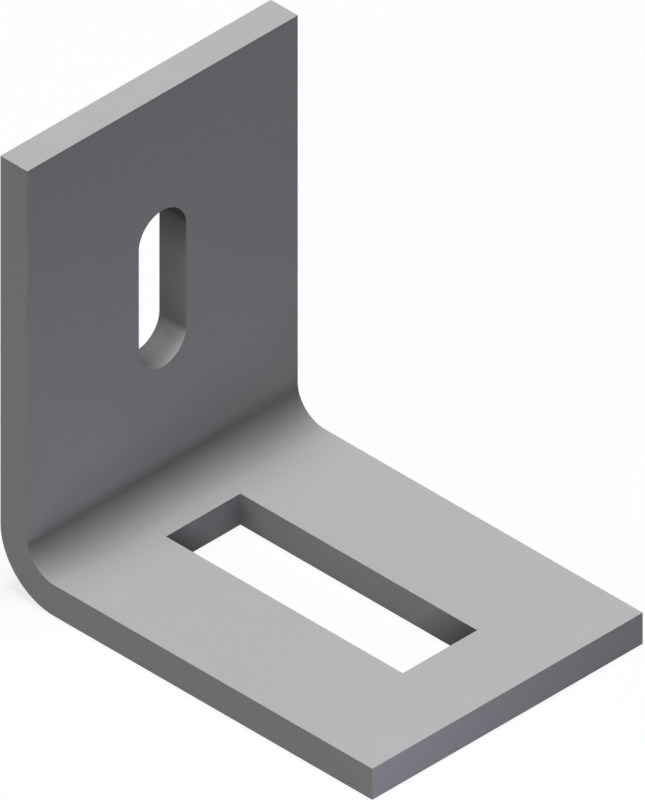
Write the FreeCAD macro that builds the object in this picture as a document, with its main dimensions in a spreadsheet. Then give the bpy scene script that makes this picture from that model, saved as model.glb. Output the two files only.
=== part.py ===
import FreeCAD, Part
import enum
import math
import os

import Sketcher

# An angle bracket folded from one flat steel bar. The foot lies flat and has a long
# rectangular slot; the upright stands at the heel and has an obround bolt slot.
# +Z is up, +X runs from the heel to the free end of the foot, and Y runs across the bar.
# The origin is the middle of the bracket's footprint, on the underside of the foot.

NODE = "angle_bracket"

# Driving sizes in millimetres: name, value and what it measures.
SIZES = (
    ("foot_length", 110.0, "Back of the upright to the free end of the foot"),
    ("upright_height", 110.0, "Underside of the foot to the top edge of the upright"),
    ("bar_width", 80.0, "Width of the flat bar, across both legs"),
    ("bar_thickness", 8.0, "Thickness of the flat bar"),
    ("inner_bend_radius", 8.0, "Radius of the inside of the bend"),
    ("foot_slot_width", 22.0, "Width of the rectangular slot in the foot"),
    ("foot_slot_end_margin", 20.0, "Free end of the foot to the rectangular slot"),
    ("foot_slot_bend_margin", 4.0, "Where the bend ends on the foot to the rectangular slot"),
    ("upright_slot_width", 14.0, "Width of the obround slot, clearance for a 12 mm bolt"),
    ("upright_slot_length", 40.0, "Length of the obround slot, from end to end"),
    ("upright_slot_drop", 50.0, "Top edge of the upright to the middle of the obround slot"),
)

# Places worked out from the driving sizes, as formulas that read the sheet.
HALF_FOOT = "Sizes.foot_length / 2"
BEND_REACH = "(Sizes.bar_thickness + Sizes.inner_bend_radius)"
FOOT_SLOT_HEEL_REACH = f"{HALF_FOOT} - {BEND_REACH} - Sizes.foot_slot_bend_margin"
FOOT_SLOT_FREE_REACH = f"{HALF_FOOT} - Sizes.foot_slot_end_margin"
UPRIGHT_SLOT_MIDDLE = "Sizes.upright_height - Sizes.upright_slot_drop"
UPRIGHT_SLOT_HALF_STRAIGHT = "(Sizes.upright_slot_length - Sizes.upright_slot_width) / 2"

# What a sketch constraint calls the sketch's own origin and its horizontal axis.
ROOT_POINT = (-1, 1)
HORIZONTAL_AXIS = -1


class At(enum.IntEnum):
    """What a sketch constraint calls the points of a line or an arc."""

    START = 1
    END = 2
    CENTRE = 3


def add_sheet(doc):
    """The spreadsheet that holds every driving size under its own name."""
    sheet = doc.addObject("Spreadsheet::Sheet", "Sizes")
    for row, (alias, value, meaning) in enumerate(SIZES, start=1):
        sheet.set(f"A{row}", meaning)
        sheet.set(f"B{row}", str(value))
        sheet.setAlias(f"B{row}", alias)
    doc.recompute()
    return sheet


def add_sketch(body, name, plane_role):
    """An empty sketch on one of the body's own origin planes."""
    plane = next(f for f in body.Origin.OriginFeatures if f.Role == plane_role)
    sketch = body.newObject("Sketcher::SketchObject", name)
    sketch.AttachmentSupport = [(plane, "")]
    sketch.MapMode = "FlatFace"
    return sketch


def amount(sketch, formula):
    """The present value of a formula of sheet sizes, in millimetres."""
    return float(sketch.evalExpression(formula))


def add_line(sketch, start, end):
    return sketch.addGeometry(Part.LineSegment(FreeCAD.Vector(*start), FreeCAD.Vector(*end)), False)


def add_arc(sketch, centre, radius, first_angle, last_angle):
    circle = Part.Circle(FreeCAD.Vector(*centre), FreeCAD.Vector(0, 0, 1), radius)
    return sketch.addGeometry(Part.ArcOfCircle(circle, first_angle, last_angle), False)


def constrain(sketch, kind, *references):
    sketch.addConstraint(Sketcher.Constraint(kind, *references))


def dimension(sketch, name, kind, references, formula):
    """A named dimension of the sketch that follows a formula of sheet sizes."""
    value = amount(sketch, formula)
    index = sketch.addConstraint(Sketcher.Constraint(kind, *references, value))
    sketch.renameConstraint(index, name)
    sketch.setExpression(f"Constraints.{name}", formula)


def add_profile(body):
    """The folded bar seen from its side: two legs of one thickness round one bend."""
    sketch = add_sketch(body, "side_profile", "XZ_Plane")
    free_end = amount(sketch, HALF_FOOT)
    heel = -free_end
    thickness = amount(sketch, "Sizes.bar_thickness")
    radius = amount(sketch, "Sizes.inner_bend_radius")
    height = amount(sketch, "Sizes.upright_height")
    bend_x = heel + thickness + radius
    bend_z = thickness + radius
    bend_centre = (bend_x, bend_z, 0)

    underside = add_line(sketch, (bend_x, 0, 0), (free_end, 0, 0))
    free_edge = add_line(sketch, (free_end, 0, 0), (free_end, thickness, 0))
    foot_top = add_line(sketch, (free_end, thickness, 0), (bend_x, thickness, 0))
    inner_bend = add_arc(sketch, bend_centre, radius, math.pi, 1.5 * math.pi)
    front = add_line(sketch, (heel + thickness, bend_z, 0), (heel + thickness, height, 0))
    top_edge = add_line(sketch, (heel + thickness, height, 0), (heel, height, 0))
    back = add_line(sketch, (heel, height, 0), (heel, bend_z, 0))
    outer_bend = add_arc(sketch, bend_centre, thickness + radius, math.pi, 1.5 * math.pi)

    for line in (underside, foot_top, top_edge):
        constrain(sketch, "Horizontal", line)
    for line in (free_edge, front, back):
        constrain(sketch, "Vertical", line)
    constrain(sketch, "Coincident", underside, At.END, free_edge, At.START)
    constrain(sketch, "Coincident", free_edge, At.END, foot_top, At.START)
    constrain(sketch, "Coincident", front, At.END, top_edge, At.START)
    constrain(sketch, "Coincident", top_edge, At.END, back, At.START)
    constrain(sketch, "Coincident", inner_bend, At.CENTRE, outer_bend, At.CENTRE)
    constrain(sketch, "Tangent", foot_top, At.END, inner_bend, At.END)
    constrain(sketch, "Tangent", inner_bend, At.START, front, At.START)
    constrain(sketch, "Tangent", back, At.END, outer_bend, At.START)
    constrain(sketch, "Tangent", outer_bend, At.END, underside, At.START)
    constrain(sketch, "PointOnObject", underside, At.END, HORIZONTAL_AXIS)

    dimension(sketch, "half_foot", "DistanceX", (*ROOT_POINT, underside, At.END), HALF_FOOT)
    dimension(sketch, "length", "DistanceX", (back, At.START, underside, At.END), "Sizes.foot_length")
    dimension(sketch, "height", "DistanceY", (underside, At.END, top_edge, At.START), "Sizes.upright_height")
    through_bar = (free_edge, At.START, free_edge, At.END)
    dimension(sketch, "thickness", "DistanceY", through_bar, "Sizes.bar_thickness")
    dimension(sketch, "bend_radius", "Radius", (inner_bend,), "Sizes.inner_bend_radius")
    return sketch


def add_foot_slot_outline(body):
    """The rectangular slot, mid-width and running lengthwise, drawn on the underside of the foot."""
    sketch = add_sketch(body, "foot_slot_outline", "XY_Plane")
    heel_end = -amount(sketch, FOOT_SLOT_HEEL_REACH)
    free_end = amount(sketch, FOOT_SLOT_FREE_REACH)
    side = amount(sketch, "Sizes.foot_slot_width / 2")

    near_side = add_line(sketch, (heel_end, -side, 0), (free_end, -side, 0))
    free_side = add_line(sketch, (free_end, -side, 0), (free_end, side, 0))
    far_side = add_line(sketch, (free_end, side, 0), (heel_end, side, 0))
    heel_side = add_line(sketch, (heel_end, side, 0), (heel_end, -side, 0))

    constrain(sketch, "Horizontal", near_side)
    constrain(sketch, "Horizontal", far_side)
    constrain(sketch, "Vertical", free_side)
    constrain(sketch, "Coincident", near_side, At.END, free_side, At.START)
    constrain(sketch, "Coincident", free_side, At.END, far_side, At.START)
    constrain(sketch, "Coincident", far_side, At.END, heel_side, At.START)
    constrain(sketch, "Coincident", heel_side, At.END, near_side, At.START)
    constrain(sketch, "Symmetric", heel_side, At.START, heel_side, At.END, HORIZONTAL_AXIS)

    dimension(sketch, "heel_reach", "DistanceX", (heel_side, At.START, *ROOT_POINT), FOOT_SLOT_HEEL_REACH)
    dimension(sketch, "free_reach", "DistanceX", (*ROOT_POINT, free_side, At.START), FOOT_SLOT_FREE_REACH)
    across_slot = (free_side, At.START, free_side, At.END)
    dimension(sketch, "width", "DistanceY", across_slot, "Sizes.foot_slot_width")
    return sketch


def add_upright_slot_outline(body):
    """The obround slot, mid-width and running up and down, drawn on a plane in front of the upright."""
    sketch = add_sketch(body, "upright_slot_outline", "YZ_Plane")
    radius = amount(sketch, "Sizes.upright_slot_width / 2")
    middle = amount(sketch, UPRIGHT_SLOT_MIDDLE)
    reach = amount(sketch, UPRIGHT_SLOT_HALF_STRAIGHT)

    upper_end = add_arc(sketch, (0, middle + reach, 0), radius, 0, math.pi)
    left_side = add_line(sketch, (-radius, middle + reach, 0), (-radius, middle - reach, 0))
    lower_end = add_arc(sketch, (0, middle - reach, 0), radius, math.pi, 2 * math.pi)
    right_side = add_line(sketch, (radius, middle - reach, 0), (radius, middle + reach, 0))

    constrain(sketch, "Tangent", upper_end, At.END, left_side, At.START)
    constrain(sketch, "Tangent", left_side, At.END, lower_end, At.START)
    constrain(sketch, "Tangent", lower_end, At.END, right_side, At.START)
    constrain(sketch, "Tangent", right_side, At.END, upper_end, At.START)
    constrain(sketch, "Vertical", left_side)
    constrain(sketch, "Vertical", right_side)
    constrain(sketch, "Vertical", upper_end, At.CENTRE, *ROOT_POINT)

    lower_centre = f"{UPRIGHT_SLOT_MIDDLE} - {UPRIGHT_SLOT_HALF_STRAIGHT}"
    upper_centre = f"{UPRIGHT_SLOT_MIDDLE} + {UPRIGHT_SLOT_HALF_STRAIGHT}"
    dimension(sketch, "lower_centre", "DistanceY", (*ROOT_POINT, lower_end, At.CENTRE), lower_centre)
    dimension(sketch, "upper_centre", "DistanceY", (*ROOT_POINT, upper_end, At.CENTRE), upper_centre)
    dimension(sketch, "end_radius", "Radius", (upper_end,), "Sizes.upright_slot_width / 2")
    return sketch


def add_bar(body, profile):
    """The folded bar: its side profile, thickened evenly to both sides of the middle plane."""
    bar = body.newObject("PartDesign::Pad", "folded_bar")
    bar.Profile = profile
    bar.SideType = "Symmetric"
    bar.setExpression("Length", "Sizes.bar_width")
    return bar


def add_slot(body, name, outline, along_normal):
    """A slot cut right through the one leg that lies to that side of its outline."""
    slot = body.newObject("PartDesign::Pocket", name)
    slot.Profile = outline
    slot.Type = "ThroughAll"
    slot.Reversed = along_normal
    return slot


def check_document(doc):
    """Stops if an object failed to build or a sketch can still move."""
    for item in doc.Objects:
        if {"Invalid", "Error"} & set(item.State):
            raise RuntimeError(f"{item.Name} did not build: {item.State}")
        if item.isDerivedFrom("Sketcher::SketchObject") and not item.FullyConstrained:
            raise RuntimeError(f"{item.Name} is not fully constrained")


def check_cut(before, after):
    """Stops if a slot took nothing off the bar."""
    if after.Shape.Volume >= before.Shape.Volume:
        raise RuntimeError(f"{after.Name} removes no material")


def check_solid(body):
    """Stops unless the body is one valid solid."""
    shape = body.Shape
    if shape.isNull() or not shape.isValid() or len(shape.Solids) != 1:
        raise RuntimeError(f"{body.Label} is not one valid solid")


def build_bracket(doc):
    """The whole bracket, one folded piece."""
    body = doc.addObject("PartDesign::Body", NODE)
    body.Label = NODE
    bar = add_bar(body, add_profile(body))
    doc.recompute()
    foot_slot = add_slot(body, "foot_slot", add_foot_slot_outline(body), along_normal=True)
    doc.recompute()
    check_cut(bar, foot_slot)
    upright_slot = add_slot(body, "upright_slot", add_upright_slot_outline(body), along_normal=False)
    doc.recompute()
    check_cut(foot_slot, upright_slot)
    body.Placement = FreeCAD.Placement()
    return body


def main():
    doc = FreeCAD.newDocument("AngleBracket")
    add_sheet(doc)
    body = build_bracket(doc)
    doc.recompute()
    check_document(doc)
    check_solid(body)
    os.makedirs("parts", exist_ok=True)
    body.Shape.exportStep(f"parts/{NODE}.step")


main()
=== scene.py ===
import math

import bpy
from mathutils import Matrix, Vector


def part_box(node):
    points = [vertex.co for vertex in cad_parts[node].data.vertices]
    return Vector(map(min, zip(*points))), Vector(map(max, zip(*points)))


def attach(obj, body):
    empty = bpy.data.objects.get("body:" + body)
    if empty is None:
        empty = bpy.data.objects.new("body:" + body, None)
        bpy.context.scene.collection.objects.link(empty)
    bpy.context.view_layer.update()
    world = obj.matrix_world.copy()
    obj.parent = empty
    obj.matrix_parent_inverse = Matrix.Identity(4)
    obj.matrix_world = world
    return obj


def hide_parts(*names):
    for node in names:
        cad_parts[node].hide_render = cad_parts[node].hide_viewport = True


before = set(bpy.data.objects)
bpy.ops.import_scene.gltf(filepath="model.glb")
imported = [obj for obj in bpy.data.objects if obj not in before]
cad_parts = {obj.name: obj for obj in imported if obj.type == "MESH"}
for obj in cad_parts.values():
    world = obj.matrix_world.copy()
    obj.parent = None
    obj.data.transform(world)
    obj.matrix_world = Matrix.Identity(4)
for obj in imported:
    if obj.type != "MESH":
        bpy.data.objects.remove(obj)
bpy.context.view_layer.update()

# The folded steel bracket stands on its foot on a white studio floor. Lengths are in metres.
# +Z is up, +X runs from the heel to the free end of the foot, and Y runs across the bar.

NODE = "angle_bracket"
BODY = "root"

# The bar, its bend and its two slots, as the construction has them.
LOW, HIGH = (Vector(corner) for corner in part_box(NODE))
FOOT_LENGTH = HIGH.x - LOW.x
UPRIGHT_HEIGHT = HIGH.z - LOW.z
BAR_WIDTH = HIGH.y - LOW.y
BAR_THICKNESS = 0.008
INNER_BEND_RADIUS = 0.008
FOOT_SLOT_WIDTH = 0.022
FOOT_SLOT_END_MARGIN = 0.020
FOOT_SLOT_BEND_MARGIN = 0.004
UPRIGHT_SLOT_WIDTH = 0.014
UPRIGHT_SLOT_LENGTH = 0.040
UPRIGHT_SLOT_DROP = 0.050

# Where the slots lie on the flat bar, measured from the foot's free end.
BEND_REACH = BAR_THICKNESS + INNER_BEND_RADIUS
FOOT_FLAT = FOOT_LENGTH - BEND_REACH
FOOT_SLOT_HEEL_END = FOOT_FLAT - FOOT_SLOT_BEND_MARGIN
BEND_LENGTH = (INNER_BEND_RADIUS + BAR_THICKNESS / 2) * math.pi / 2
BAR_LENGTH = FOOT_FLAT + BEND_LENGTH + UPRIGHT_HEIGHT - BEND_REACH
UPRIGHT_SLOT_MIDDLE = BAR_LENGTH - UPRIGHT_SLOT_DROP

# How finely round stretches are divided. The flat bar has a row of points at each end, and one row
# more inside the bend than the bend has steps.
BEND_STEPS = 40
ROWS_BESIDES_STEPS = 3.0
HALF_STEP = 0.5
SLOT_END_STEPS = 96

# How far the cutters stand past the bar, as multiples of its thickness from its outer face.
CUTTER_TOP = 2.0
CUTTER_BOTTOM = -1.0
WELD_DISTANCE = 0.000002

# How much the arrises are eased, and how far large faces rule the shading, where 50 is neutral.
EDGE_BREAK = 0.00005
EDGE_BREAK_STEPS = 2
SHARP_ANGLE = math.radians(30)
LARGE_FACE_WEIGHT = 100

# What the mesh remembers of the flat bar: each point's place on it, and which faces are broad. A
# face is broad where the upright share of its normal is over this, before the fold.
FLAT_PLACE = "flat_place"
BROAD_FACE = "broad_face"
BROAD_NORMAL = 0.5


def add_node(tree, kind, inputs=(), **settings):
    """A node with its settings made and its inputs set, or joined where a socket is given."""
    node = tree.nodes.new(kind)
    for name, value in settings.items():
        setattr(node, name, value)
    for key, value in dict(inputs).items():
        if isinstance(value, bpy.types.NodeSocket):
            tree.links.new(value, node.inputs[key])
        else:
            node.inputs[key].default_value = value
    return node


def calculate(tree, operation, *values):
    """One sum of the tree, given numbers or sockets."""
    return add_node(tree, "ShaderNodeMath", enumerate(values), operation=operation).outputs[0]


def combine(tree, x, y, z):
    """A vector made of three parts."""
    return add_node(tree, "ShaderNodeCombineXYZ", {0: x, 1: y, 2: z}).outputs[0]


def separate(tree, vector):
    """The three parts of a vector, as sockets."""
    return add_node(tree, "ShaderNodeSeparateXYZ", {0: vector}).outputs


def product(tree, first, *others):
    """All the values multiplied together."""
    for other in others:
        first = calculate(tree, "MULTIPLY", first, other)
    return first


def distance(tree, value, place):
    """How far a value lies from a place, to either side."""
    return calculate(tree, "ABSOLUTE", calculate(tree, "SUBTRACT", value, place))


def near(tree, value, place, reach):
    """One where a value lies within reach of a place, and nought elsewhere."""
    return calculate(tree, "LESS_THAN", distance(tree, value, place), reach)


def emptied_tree(owner):
    """The node tree of a material or a world, with nothing in it."""
    owner.use_nodes = True
    owner.node_tree.nodes.clear()
    return owner.node_tree


def add_object(name, data):
    """A new object in the scene."""
    made = bpy.data.objects.new(name, data)
    bpy.context.scene.collection.objects.link(made)
    return made


# Geometry: a flat bar is slotted, then folded.

BAR_LENGTHS = {
    "Foot Length": FOOT_LENGTH,
    "Upright Height": UPRIGHT_HEIGHT,
    "Bar Width": BAR_WIDTH,
    "Bar Thickness": BAR_THICKNESS,
    "Inner Bend Radius": INNER_BEND_RADIUS,
    "Foot Slot Width": FOOT_SLOT_WIDTH,
    "Foot Slot End Margin": FOOT_SLOT_END_MARGIN,
    "Foot Slot Bend Margin": FOOT_SLOT_BEND_MARGIN,
    "Upright Slot Width": UPRIGHT_SLOT_WIDTH,
    "Upright Slot Length": UPRIGHT_SLOT_LENGTH,
    "Upright Slot Drop": UPRIGHT_SLOT_DROP,
}
BAR_STEPS = {
    "Bend Steps": BEND_STEPS,
    "Slot End Steps": SLOT_END_STEPS,
}


def bar_sockets(tree):
    """The tree's named inputs, by name, with the lengths of the flat stretches worked out."""
    for name in BAR_LENGTHS:
        tree.interface.new_socket(name, in_out="INPUT", socket_type="NodeSocketFloat")
    for name in BAR_STEPS:
        tree.interface.new_socket(name, in_out="INPUT", socket_type="NodeSocketInt")
    tree.interface.new_socket("Geometry", in_out="OUTPUT", socket_type="NodeSocketGeometry")
    given = tree.nodes.new("NodeGroupInput").outputs
    sizes = {socket.name: socket for socket in given if socket.name}

    half_thickness = product(tree, sizes["Bar Thickness"], 0.5)
    sizes["Bend Reach"] = calculate(tree, "ADD", sizes["Bar Thickness"], sizes["Inner Bend Radius"])
    sizes["Middle Radius"] = calculate(tree, "ADD", sizes["Inner Bend Radius"], half_thickness)
    sizes["Foot Flat"] = calculate(tree, "SUBTRACT", sizes["Foot Length"], sizes["Bend Reach"])
    sizes["Upright Flat"] = calculate(tree, "SUBTRACT", sizes["Upright Height"], sizes["Bend Reach"])
    sizes["Bend Length"] = product(tree, sizes["Middle Radius"], math.pi / 2)
    sizes["Bend End"] = calculate(tree, "ADD", sizes["Foot Flat"], sizes["Bend Length"])
    sizes["Bar Length"] = calculate(tree, "ADD", sizes["Bend End"], sizes["Upright Flat"])
    return sizes


def box_between(tree, low_x, high_x, width, low_z, high_z, steps=2):
    """A box mesh, centred across the bar, from one place along it to another."""
    length = calculate(tree, "SUBTRACT", high_x, low_x)
    height = calculate(tree, "SUBTRACT", high_z, low_z)
    middle_x = product(tree, calculate(tree, "ADD", low_x, high_x), 0.5)
    middle_z = product(tree, calculate(tree, "ADD", low_z, high_z), 0.5)
    size = combine(tree, length, width, height)
    cube = add_node(tree, "GeometryNodeMeshCube", {"Size": size, "Vertices X": steps})
    middle = combine(tree, middle_x, 0.0, middle_z)
    moved = add_node(tree, "GeometryNodeTransform", {"Geometry": cube.outputs["Mesh"], "Translation": middle})
    return moved.outputs["Geometry"]


def flat_bar(tree, sizes):
    """The flat bar, lying from the foot's free end at zero, with rows of points only at the bend."""
    stations = calculate(tree, "ADD", sizes["Bend Steps"], ROWS_BESIDES_STEPS)
    last = calculate(tree, "SUBTRACT", stations, 1.0)
    block = box_between(
        tree, 0.0, sizes["Bar Length"], sizes["Bar Width"], 0.0, sizes["Bar Thickness"], steps=stations
    )
    place = separate(tree, tree.nodes.new("GeometryNodeInputPosition").outputs[0])
    share = calculate(tree, "DIVIDE", place["X"], sizes["Bar Length"])
    station = product(tree, share, last)
    in_bend = add_node(tree, "ShaderNodeMapRange", {
        "Value": station,
        "From Min": 1.0,
        "From Max": calculate(tree, "SUBTRACT", last, 1.0),
        "To Min": sizes["Foot Flat"],
        "To Max": sizes["Bend End"],
    }).outputs["Result"]
    past_start = calculate(tree, "GREATER_THAN", station, HALF_STEP)
    at_end = calculate(tree, "GREATER_THAN", station, calculate(tree, "SUBTRACT", last, HALF_STEP))
    to_end = product(tree, at_end, sizes["Upright Flat"])
    along = calculate(tree, "ADD", product(tree, past_start, in_bend), to_end)
    moved = combine(tree, along, place["Y"], place["Z"])
    return add_node(tree, "GeometryNodeSetPosition", {"Geometry": block, "Position": moved}).outputs[0]


def slot_cutters(tree, sizes):
    """A box for the foot's rectangular slot and a round-ended prism for the upright's slot."""
    above = product(tree, sizes["Bar Thickness"], CUTTER_TOP)
    below = product(tree, sizes["Bar Thickness"], CUTTER_BOTTOM)
    heel_end = calculate(tree, "SUBTRACT", sizes["Foot Flat"], sizes["Foot Slot Bend Margin"])
    foot_slot = box_between(
        tree, sizes["Foot Slot End Margin"], heel_end, sizes["Foot Slot Width"], below, above
    )

    radius = product(tree, sizes["Upright Slot Width"], 0.5)
    depth = calculate(tree, "SUBTRACT", above, below)
    post = add_node(tree, "GeometryNodeMeshCylinder", {
        "Vertices": sizes["Slot End Steps"],
        "Radius": radius,
        "Depth": depth,
    }).outputs["Mesh"]
    middle = calculate(tree, "SUBTRACT", sizes["Bar Length"], sizes["Upright Slot Drop"])
    straight = calculate(tree, "SUBTRACT", sizes["Upright Slot Length"], sizes["Upright Slot Width"])
    half_straight = product(tree, straight, 0.5)
    posts = tree.nodes.new("GeometryNodeJoinGeometry")
    for side in ("ADD", "SUBTRACT"):
        centre = combine(tree, calculate(tree, side, middle, half_straight), 0.0, 0.0)
        placed = add_node(tree, "GeometryNodeTransform", {"Geometry": post, "Translation": centre})
        tree.links.new(placed.outputs["Geometry"], posts.inputs["Geometry"])
    upright_slot = add_node(tree, "GeometryNodeConvexHull", {"Geometry": posts.outputs["Geometry"]})
    return foot_slot, upright_slot.outputs["Convex Hull"]


def slotted_bar(tree, sizes):
    """The flat bar with both slots cut through it."""
    cut = add_node(tree, "GeometryNodeMeshBoolean", operation="DIFFERENCE", solver="EXACT")
    tree.links.new(flat_bar(tree, sizes), cut.inputs["Mesh 1"])
    for cutter in slot_cutters(tree, sizes):
        tree.links.new(cutter, cut.inputs["Mesh 2"])
    return add_node(tree, "GeometryNodeMergeByDistance", {
        "Geometry": cut.outputs["Mesh"],
        "Distance": WELD_DISTANCE,
    }).outputs["Geometry"]


def remembered(tree, geometry, name, kind, domain, value):
    """The geometry with a value of the flat bar stored under a name."""
    return add_node(tree, "GeometryNodeStoreNamedAttribute", data_type=kind, domain=domain, inputs={
        "Geometry": geometry,
        "Name": name,
        "Value": value,
    }).outputs["Geometry"]


def folded(tree, sizes, flat):
    """The slotted bar folded round the bend: the foot stays down and the rest swings up."""
    place = separate(tree, tree.nodes.new("GeometryNodeInputPosition").outputs[0])
    past_foot = calculate(tree, "SUBTRACT", place["X"], sizes["Foot Flat"])
    turn = calculate(tree, "DIVIDE", past_foot, sizes["Middle Radius"])
    turn = calculate(tree, "MINIMUM", calculate(tree, "MAXIMUM", turn, 0.0), math.pi / 2)
    radius = calculate(tree, "SUBTRACT", sizes["Bend Reach"], place["Z"])
    along_foot = calculate(tree, "MAXIMUM", product(tree, past_foot, -1.0), 0.0)
    up_upright = calculate(tree, "MAXIMUM", calculate(tree, "SUBTRACT", place["X"], sizes["Bend End"]), 0.0)

    heel = product(tree, sizes["Foot Length"], -0.5)
    bend_x = calculate(tree, "ADD", heel, sizes["Bend Reach"])
    outward = product(tree, radius, calculate(tree, "SINE", turn))
    downward = product(tree, radius, calculate(tree, "COSINE", turn))
    x = calculate(tree, "SUBTRACT", calculate(tree, "ADD", bend_x, along_foot), outward)
    z = calculate(tree, "SUBTRACT", calculate(tree, "ADD", sizes["Bend Reach"], up_upright), downward)
    moved = combine(tree, x, place["Y"], z)
    bent = add_node(tree, "GeometryNodeSetPosition", {"Geometry": flat, "Position": moved}).outputs[0]
    # The fold swaps left and right along the bar, so the faces are turned to point outwards again.
    return add_node(tree, "GeometryNodeFlipFaces", {"Mesh": bent}).outputs[0]


def bracket_tree(face_steel, edge_steel):
    """The whole piece: flat bar, two slots, the fold and the finishes."""
    tree = bpy.data.node_groups.new("folded_bracket", "GeometryNodeTree")
    sizes = bar_sockets(tree)
    place = tree.nodes.new("GeometryNodeInputPosition").outputs[0]
    normal = separate(tree, tree.nodes.new("GeometryNodeInputNormal").outputs[0])
    level = calculate(tree, "GREATER_THAN", calculate(tree, "ABSOLUTE", normal["Z"]), BROAD_NORMAL)

    flat = remembered(tree, slotted_bar(tree, sizes), FLAT_PLACE, "FLOAT_VECTOR", "POINT", place)
    flat = remembered(tree, flat, BROAD_FACE, "BOOLEAN", "FACE", level)
    smooth = add_node(tree, "GeometryNodeSetShadeSmooth", {"Geometry": folded(tree, sizes, flat)})
    whole = add_node(tree, "GeometryNodeRealizeInstances", {"Geometry": smooth.outputs["Geometry"]})
    edged = add_node(tree, "GeometryNodeSetMaterial", {
        "Geometry": whole.outputs["Geometry"],
        "Material": edge_steel,
    })
    broad = add_node(tree, "GeometryNodeInputNamedAttribute", {"Name": BROAD_FACE}, data_type="BOOLEAN")
    faced = add_node(tree, "GeometryNodeSetMaterial", {
        "Geometry": edged.outputs["Geometry"],
        "Selection": broad.outputs["Attribute"],
        "Material": face_steel,
    })
    add_node(tree, "NodeGroupOutput", {"Geometry": faced.outputs["Geometry"]})
    return tree


def set_inputs(modifier, values):
    """The modifier's inputs, found by their names in the tree and set by their identifiers."""
    for item in modifier.node_group.interface.items_tree:
        if item.name in values:
            modifier[item.identifier] = values[item.name]


def make_bracket(face_steel, edge_steel):
    """Make the bracket as one plain mesh from the tree above, with its arrises eased."""
    maker = add_object("bracket_maker", bpy.data.meshes.new("bracket_maker"))
    fold = maker.modifiers.new("fold", "NODES")
    fold.node_group = bracket_tree(face_steel, edge_steel)
    set_inputs(fold, {**BAR_LENGTHS, **BAR_STEPS})
    ease = maker.modifiers.new("ease", "BEVEL")
    ease.width = EDGE_BREAK
    ease.segments = EDGE_BREAK_STEPS
    ease.limit_method = "ANGLE"
    ease.angle_limit = SHARP_ANGLE
    even = maker.modifiers.new("even", "WEIGHTED_NORMAL")
    even.weight = LARGE_FACE_WEIGHT
    even.keep_sharp = False

    evaluated = maker.evaluated_get(bpy.context.evaluated_depsgraph_get())
    mesh = bpy.data.meshes.new_from_object(evaluated)
    bpy.data.objects.remove(maker)
    mesh.name = "folded_bracket"
    mesh.attributes.remove(mesh.attributes[BROAD_FACE])
    for slot in reversed(range(len(mesh.materials))):
        if mesh.materials[slot] is None:
            mesh.materials.pop(index=slot)
    bracket = add_object("folded_bracket", mesh)
    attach(bracket, BODY)
    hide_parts(NODE)


# Finishes: both read the place on the flat bar, so what they draw, painted light and shade included, runs
# round the bend with the steel.

LIGHT_STEEL = (0.492, 0.492, 0.492, 1.0)
DARK_STEEL = (0.444, 0.444, 0.444, 1.0)
METALLIC = 0.0
SPECULAR = 0.25
ROUGHNESS_RANGE = (0.48, 0.56)

# Where the painted shade is darkest the steel is dull too: below this tone its roughness rises, up to this
# where it is black.
DULL_TONE = 0.2
DULL_ROUGHNESS = 0.72

# Features to the metre along the bar, across it and through it.
ROLLED_GRAIN = (45.0, 2400.0, 45.0)
CUT_GRAIN = (1700.0, 1700.0, 90.0)
PATCHES = (42.0, 55.0, 42.0)

# How fine and rough the noise is, what each kind adds to the lightness, how high the grain stands,
# and the part of the patches' range that the roughness follows.
GRAIN_DETAIL = 3.0
PATCH_DETAIL = 2.0
NOISE_ROUGHNESS = 0.6
GRAIN_SHARE = 0.55
PATCH_SHARE = 0.45
GRAIN_HEIGHT = 0.000004
PATCH_SPREAD = (0.3, 0.7)

# Painted shade in the crease inside the bend, a dark line and its halo, by distance past the bend's start.
CREASE_SHADE_LOSS = 0.59
HALO_SHARE = 0.35
CREASE_SHADE_FROM = -0.0022
CREASE_SHADE_MOST = 0.0157
CREASE_SHADE_TO = 0.0205
HALO_TO = 0.0320

# Towards the bar's left edge the painted crease shade starts later, and the line and the halo both draw in to
# end at one place. From the middle to the right edge both widen.
LATE_START = 0.0022
LEFT_END = 0.0192
LEFT_STRETCH = (-BAR_WIDTH / 2, -BAR_WIDTH / 2 + 0.013)
RIGHT_STRETCH = (0.0, BAR_WIDTH / 2)
LINE_WIDENS = 0.0012
HALO_WIDENS = 0.016

# The painted crease shade starts later near this line along the bar too: fully up to the first of the two
# ways from it, and less and less up to the second.
MIDDLE_LINE = 0.003
MIDDLE_STRETCH = (0.004, 0.024)
MIDDLE_LATE_START = 0.0018

# The painted crease shade is a little warmer than the steel. The tint is full where the tone is nought.
CREASE_SHADE_TINT = (1.02, 1.0, 0.94, 1.0)

# Painted shade in the foot slot's corners, darkest at their foot: each corner's place along and across the
# flat bar, the tone left at its core, and how far the painted shade reaches. A tone of 1 changes nothing.
# Each core is of the same size.
HALF_FOOT_SLOT = FOOT_SLOT_WIDTH / 2
CORE_REACH = 0.004
DARK_CORNERS = (
    (FOOT_SLOT_END_MARGIN, HALF_FOOT_SLOT, 0.02, 0.0200),
    (FOOT_SLOT_HEEL_END, -HALF_FOOT_SLOT, 0.02, 0.0155),
    (FOOT_SLOT_END_MARGIN, -HALF_FOOT_SLOT, 0.75, 0.0100),
    (FOOT_SLOT_HEEL_END, HALF_FOOT_SLOT, 0.75, 0.0100),
)

# The slot's wall at the heel has painted light, a little brighter than the others. What lies this close to
# its plane, and no further than this past its ends, counts as the wall.
HEEL_WALL_TONE = 1.10
HEEL_WALL_SLACK = 0.0004
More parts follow.
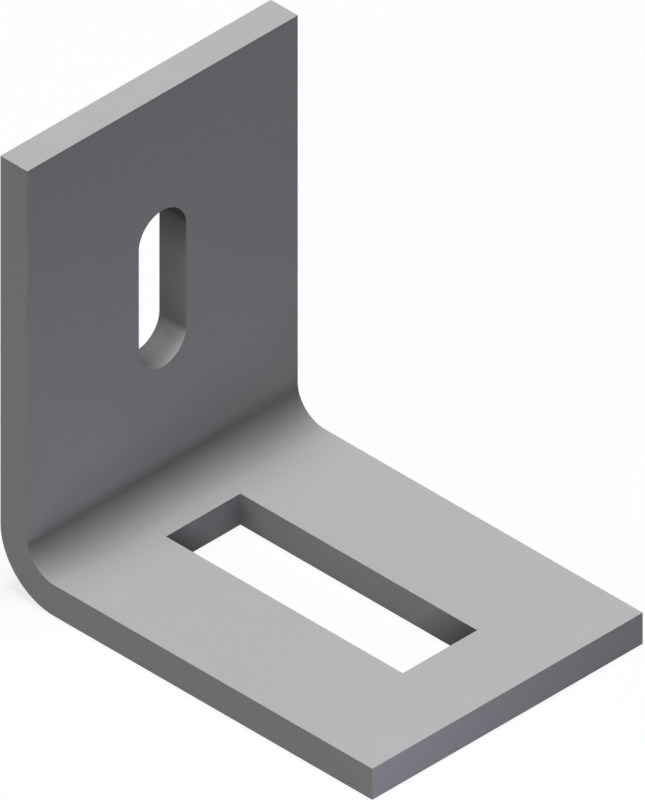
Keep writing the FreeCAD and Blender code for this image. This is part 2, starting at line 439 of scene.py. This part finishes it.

# The upright slot's painted light and shade, by height from its middle. Its walls have painted shade towards
# the back and their ends, its upper arch the darkest painted shade, and its lower arch painted light at the
# front, with a darker painted lip at the back and a darker far side.
ARCH_START = (UPRIGHT_SLOT_LENGTH - UPRIGHT_SLOT_WIDTH) / 2
WALL_BACK_TONE = 0.62
CLIMB_RANGE = (0.001, 0.017)
CLIMB_TONE = 0.28
SINK_RANGE = (-ARCH_START, -0.005)
SINK_TONE = 0.80
UPPER_ARCH_RANGE = (ARCH_START - 0.0010, ARCH_START + 0.0020)
UPPER_ARCH_TONE = 0.02
LOWER_ARCH_RANGE = (-ARCH_START - 0.0025, -ARCH_START - 0.0002)
LOWER_ARCH_FRONT_TONE = 1.60
LOWER_ARCH_BACK_TONE = 0.91
LOWER_LIP_RANGE = (0.0, 0.0022)
LOWER_LIP_TONES = (0.72, 1.04)
FAR_SIDE_RANGE = (-0.0026, 0.0052)
FAR_SIDE_TONE = 0.38


def noise(tree, place, stretch, detail):
    """Noise between nought and one, stretched over the flat bar."""
    scaled = add_node(tree, "ShaderNodeMapping", {"Vector": place, "Scale": stretch}).outputs["Vector"]
    return add_node(tree, "ShaderNodeTexNoise", {
        "Vector": scaled,
        "Scale": 1.0,
        "Detail": detail,
        "Roughness": NOISE_ROUGHNESS,
    }).outputs[0]


def map_range(tree, value, from_range, to_range, kind="LINEAR"):
    """A value carried over from one range to another, and kept inside it."""
    return add_node(tree, "ShaderNodeMapRange", interpolation_type=kind, clamp=True, inputs={
        "Value": value,
        "From Min": from_range[0],
        "From Max": from_range[1],
        "To Min": to_range[0],
        "To Max": to_range[1],
    }).outputs["Result"]


def mix_colour(tree, factor, first, second):
    """A colour between two others."""
    node = add_node(tree, "ShaderNodeMix", data_type="RGBA")
    given = {socket.identifier: socket for socket in node.inputs}
    made = {socket.identifier: socket for socket in node.outputs}
    tree.links.new(factor, given["Factor_Float"])
    given["A_Color"].default_value = first
    given["B_Color"].default_value = second
    return made["Result_Color"]


def crease_shade_reach(tree, parts, middle_end, widens):
    """How far past the bend's start the painted shade's line or its halo goes, by the place across the bar.
    """
    end = map_range(tree, parts["Y"], LEFT_STRETCH, (LEFT_END, middle_end))
    wider = map_range(tree, parts["Y"], RIGHT_STRETCH, (0.0, widens))
    return calculate(tree, "ADD", end, wider)


def painted_crease_shade(tree, parts):
    """Painted crease shade inside the bend: darkest just below the upright, fading both along the foot and
    upwards.
    """
    past_foot = calculate(tree, "SUBTRACT", parts["X"], FOOT_FLAT)
    edge_start = map_range(tree, parts["Y"], LEFT_STRETCH, (CREASE_SHADE_FROM + LATE_START, CREASE_SHADE_FROM))
    off_line = distance(tree, parts["Y"], MIDDLE_LINE)
    later = map_range(tree, off_line, MIDDLE_STRETCH, (MIDDLE_LATE_START, 0.0), "SMOOTHSTEP")
    start = calculate(tree, "ADD", edge_start, later)
    rise = map_range(tree, past_foot, (start, CREASE_SHADE_MOST), (0.0, 1.0))
    line_to = crease_shade_reach(tree, parts, CREASE_SHADE_TO, LINE_WIDENS)
    line = map_range(tree, past_foot, (CREASE_SHADE_MOST, line_to), (1.0 - HALO_SHARE, 0.0), "SMOOTHSTEP")
    halo_to = crease_shade_reach(tree, parts, HALO_TO, HALO_WIDENS)
    halo = map_range(tree, past_foot, (CREASE_SHADE_MOST, halo_to), (HALO_SHARE, 0.0), "SMOOTHSTEP")
    inside = calculate(tree, "GREATER_THAN", parts["Z"], BAR_THICKNESS / 2)
    loss = product(tree, rise, calculate(tree, "ADD", line, halo), inside, CREASE_SHADE_LOSS)
    return calculate(tree, "SUBTRACT", 1.0, loss)


def foot_slot_light_and_shade(tree, parts):
    """Painted light and shade on the foot slot's walls: a brighter heel wall, and painted shade by the way to
    each of its corners.
    """
    at_heel_end = near(tree, parts["X"], FOOT_SLOT_HEEL_END, HEEL_WALL_SLACK)
    between_walls = near(tree, parts["Y"], 0.0, HALF_FOOT_SLOT + HEEL_WALL_SLACK)
    on_heel_wall = product(tree, at_heel_end, between_walls)
    tone = map_range(tree, on_heel_wall, (0.0, 1.0), (1.0, HEEL_WALL_TONE))
    for along, across, core_tone, reach in DARK_CORNERS:
        off_along = distance(tree, parts["X"], along)
        off_across = distance(tree, parts["Y"], across)
        away = calculate(tree, "ADD", calculate(tree, "ADD", off_along, off_across), parts["Z"])
        corner = map_range(tree, away, (CORE_REACH, reach), (core_tone, 1.0))
        tone = product(tree, tone, corner)
    return tone


def upright_slot_light_and_shade(tree, parts):
    """Painted light and shade on the upright slot's walls and on the arches at its ends."""
    height = calculate(tree, "SUBTRACT", parts["X"], UPRIGHT_SLOT_MIDDLE)
    through = (0.0, BAR_THICKNESS)
    climb = map_range(tree, height, CLIMB_RANGE, (1.0, CLIMB_TONE), "SMOOTHSTEP")
    sink = map_range(tree, height, SINK_RANGE, (SINK_TONE, 1.0))
    depth = map_range(tree, parts["Z"], through, (WALL_BACK_TONE, 1.0))
    upper_arch = map_range(tree, height, UPPER_ARCH_RANGE, (1.0, UPPER_ARCH_TONE), "SMOOTHSTEP")
    wall = product(tree, climb, sink, depth, upper_arch)

    arch_depth = map_range(tree, parts["Z"], through, (LOWER_ARCH_BACK_TONE, LOWER_ARCH_FRONT_TONE))
    lip = map_range(tree, parts["Z"], LOWER_LIP_RANGE, LOWER_LIP_TONES)
    side = map_range(tree, parts["Y"], FAR_SIDE_RANGE, (FAR_SIDE_TONE, 1.0))
    lower_arch = product(tree, arch_depth, lip, side)
    tone = map_range(tree, height, LOWER_ARCH_RANGE, (lower_arch, wall), "SMOOTHSTEP")

    in_length = near(tree, parts["X"], UPRIGHT_SLOT_MIDDLE, UPRIGHT_SLOT_LENGTH)
    in_width = near(tree, parts["Y"], 0.0, UPRIGHT_SLOT_WIDTH)
    return map_range(tree, product(tree, in_length, in_width), (0.0, 1.0), (1.0, tone))


def painted_slot_light_and_shade(tree, parts):
    """Painted light and shade on the cut steel in both slots."""
    return product(tree, foot_slot_light_and_shade(tree, parts), upright_slot_light_and_shade(tree, parts))


def steel(name, grain_stretch, tone_of, dark_tint):
    """Plain satin steel, faintly patchy, with a fine grain that follows the bar through its bend.

    Its tone paints light and shade onto it from place to place, and its dark tint colours the painted shade
    where the tone is low.
    """
    material = bpy.data.materials.new(name)
    tree = emptied_tree(material)
    place = add_node(tree, "ShaderNodeAttribute", attribute_name=FLAT_PLACE).outputs["Vector"]
    grain = noise(tree, place, grain_stretch, GRAIN_DETAIL)
    patches = noise(tree, place, PATCHES, PATCH_DETAIL)

    from_grain = product(tree, grain, GRAIN_SHARE)
    from_patches = product(tree, patches, PATCH_SHARE)
    lightness = calculate(tree, "ADD", from_grain, from_patches)
    colour = mix_colour(tree, lightness, DARK_STEEL, LIGHT_STEEL)
    # The tone is painted light and shade from the given function.
    tone = tone_of(tree, separate(tree, place))
    tint = mix_colour(tree, tone, dark_tint, WHITE)
    tinted = add_node(tree, "ShaderNodeVectorMath", {0: colour, 1: tint}, operation="MULTIPLY").outputs[0]
    toned = add_node(tree, "ShaderNodeVectorMath", {0: tinted, "Scale": tone}, operation="SCALE").outputs[0]
    satin = map_range(tree, patches, PATCH_SPREAD, ROUGHNESS_RANGE)
    roughness = map_range(tree, tone, (0.0, DULL_TONE), (DULL_ROUGHNESS, satin))
    bump = add_node(tree, "ShaderNodeBump", {"Height": grain, "Distance": GRAIN_HEIGHT})
    shader = add_node(tree, "ShaderNodeBsdfPrincipled", {
        "Base Color": toned,
        "Roughness": roughness,
        "Metallic": METALLIC,
        "Specular IOR Level": SPECULAR,
        "Normal": bump.outputs["Normal"],
    })
    add_node(tree, "ShaderNodeOutputMaterial", {"Surface": shader.outputs["BSDF"]})
    return material


# Floor, backdrop and light.

FLOOR_HALF_WIDTH = 8.0
FLOOR_BOUNCE = (0.15, 0.15, 0.15, 1.0)
WHITE = (1.0, 1.0, 1.0, 1.0)
SHADOW_SHARE = 0.20
SKY_STRENGTH = 0.01
NEUTRAL = (1.0, 1.0, 1.0)
COOL = (0.82, 0.85, 1.0)
BLUE = (0.32, 0.36, 1.0)

# Soft lights from far off: azimuth and elevation in degrees, width in degrees, strength and tint.
FAR_LIGHTS = {
    "overhead": (0.0, 90.0, 20.0, 0.82, NEUTRAL),
    "left_fill": (-90.0, 32.0, 60.0, 0.147, NEUTRAL),
    "front_fill": (0.0, 8.0, 60.0, 0.042, BLUE),
    "back_fill": (180.0, 8.0, 60.0, 0.15, NEUTRAL),
    "right_fill": (90.0, 8.0, 60.0, 0.10, NEUTRAL),
}

# Two small cool lamps: one low down in front of the foot's free end, and one with a narrow beam on
# the lower left of the upright, given as its cone's angle and what it is aimed at.
LAMP_RADIUS = 0.02
NEAR_LAMP_PLACE = (0.13, -0.045, 0.015)
NEAR_LAMP_POWER = 0.060
BEAM_PLACE = (0.30, -0.15, 0.06)
BEAM_AIM = (-0.047, -0.077, 0.029)
BEAM_ANGLE = math.radians(28)
BEAM_SOFTNESS = 1.0
BEAM_POWER = 0.26


def seen_directly(tree):
    """One for camera, glossy and transmission rays, and zero for the light that surfaces pass on."""
    ray = tree.nodes.new("ShaderNodeLightPath").outputs
    mirrored = calculate(tree, "MAXIMUM", ray["Is Glossy Ray"], ray["Is Transmission Ray"])
    return calculate(tree, "MAXIMUM", ray["Is Camera Ray"], mirrored)


def floor_material():
    """White where it is seen, with the object's shadow kept, and greyer as a source of bounced light."""
    material = bpy.data.materials.new("studio_floor")
    tree = emptied_tree(material)
    bounce = add_node(tree, "ShaderNodeBsdfDiffuse", {"Color": FLOOR_BOUNCE}).outputs[0]
    glow = add_node(tree, "ShaderNodeEmission", {"Color": WHITE, "Strength": 1.0}).outputs[0]
    lit = add_node(tree, "ShaderNodeBsdfDiffuse", {"Color": WHITE}).outputs[0]
    look = add_node(tree, "ShaderNodeMixShader", {0: SHADOW_SHARE, 1: glow, 2: lit}).outputs[0]
    mixed = add_node(tree, "ShaderNodeMixShader", {0: seen_directly(tree), 1: bounce, 2: look}).outputs[0]
    add_node(tree, "ShaderNodeOutputMaterial", {"Surface": mixed})
    return material


def make_floor():
    """The floor."""
    reach = FLOOR_HALF_WIDTH
    corners = [(-reach, -reach, 0.0), (reach, -reach, 0.0), (reach, reach, 0.0), (-reach, reach, 0.0)]
    mesh = bpy.data.meshes.new("floor")
    mesh.from_pydata(corners, [], [(0, 1, 2, 3)])
    mesh.materials.append(floor_material())
    floor = add_object("floor", mesh)


def make_sky():
    """A white backdrop that gives almost no light."""
    world = bpy.data.worlds.new("studio_sky")
    bpy.context.scene.world = world
    tree = emptied_tree(world)
    light = add_node(tree, "ShaderNodeBackground", {"Color": WHITE, "Strength": SKY_STRENGTH}).outputs[0]
    backdrop = add_node(tree, "ShaderNodeBackground", {"Color": WHITE, "Strength": 1.0}).outputs[0]
    mixed = add_node(tree, "ShaderNodeMixShader", {0: seen_directly(tree), 1: light, 2: backdrop}).outputs[0]
    add_node(tree, "ShaderNodeOutputWorld", {"Surface": mixed})


def make_far_light(name, azimuth, elevation, width, strength, tint):
    """A lamp far off. At a strength of 1 it shows a white surface that faces it as white."""
    lamp = bpy.data.lights.new(name, "SUN")
    lamp.energy = strength * math.pi
    lamp.angle = math.radians(width)
    lamp.color = tint
    holder = add_object(name, lamp)
    round_z, up = math.radians(azimuth), math.radians(elevation)
    towards = Vector((math.cos(round_z) * math.cos(up), math.sin(round_z) * math.cos(up), math.sin(up)))
    holder.rotation_euler = towards.to_track_quat("Z", "Y").to_euler()


def make_small_lamp(name, kind, power, place, aim=(0.0, 0.0, 0.0)):
    """A small cool lamp that lights the object but isn't seen in it."""
    lamp = bpy.data.lights.new(name, kind)
    lamp.energy = power
    lamp.shadow_soft_size = LAMP_RADIUS
    lamp.use_soft_falloff = False
    lamp.color = COOL
    holder = add_object(name, lamp)
    holder.location = place
    holder.rotation_euler = (Vector(place) - Vector(aim)).to_track_quat("Z", "Y").to_euler()
    holder.visible_camera = False
    holder.visible_glossy = False
    return lamp


def make_beam():
    """The lamp with a narrow beam, soft right across its cone."""
    beam = make_small_lamp("beam", "SPOT", BEAM_POWER, BEAM_PLACE, BEAM_AIM)
    beam.spot_size = BEAM_ANGLE
    beam.spot_blend = BEAM_SOFTNESS


# Camera: a parallel view down on the inside of the corner.

VIEW_AZIMUTH = math.radians(45)
VIEW_ELEVATION = math.atan(math.sqrt(0.5))
VIEW_HEIGHT = 0.1673
AIM_RIGHT = 0.0002
AIM_UP = 0.04486
CAMERA_DISTANCE = 1.0


def make_camera():
    """The scene's camera, and the plain view transform."""
    sin_a, cos_a = math.sin(VIEW_AZIMUTH), math.cos(VIEW_AZIMUTH)
    sin_e, cos_e = math.sin(VIEW_ELEVATION), math.cos(VIEW_ELEVATION)
    back = Vector((sin_a * cos_e, -cos_a * cos_e, sin_e))
    right = Vector((cos_a, sin_a, 0.0))
    up = back.cross(right)

    lens = bpy.data.cameras.new("camera")
    lens.type = "ORTHO"
    lens.ortho_scale = VIEW_HEIGHT
    camera = add_object("camera", lens)
    camera.location = AIM_RIGHT * right + AIM_UP * up + CAMERA_DISTANCE * back
    camera.rotation_euler = back.to_track_quat("Z", "Y").to_euler()
    bpy.context.scene.camera = camera
    bpy.context.scene.view_settings.view_transform = "Standard"


make_camera()
# Rolled steel carries the painted crease shade, and cut steel the painted light and shade in the slots.
make_bracket(
    steel("rolled_steel", ROLLED_GRAIN, painted_crease_shade, CREASE_SHADE_TINT),
    steel("cut_steel", CUT_GRAIN, painted_slot_light_and_shade, WHITE),
)
make_floor()
make_sky()
for light_name, light in FAR_LIGHTS.items():
    make_far_light(light_name, *light)
make_small_lamp("near_lamp", "POINT", NEAR_LAMP_POWER, NEAR_LAMP_PLACE)
make_beam()
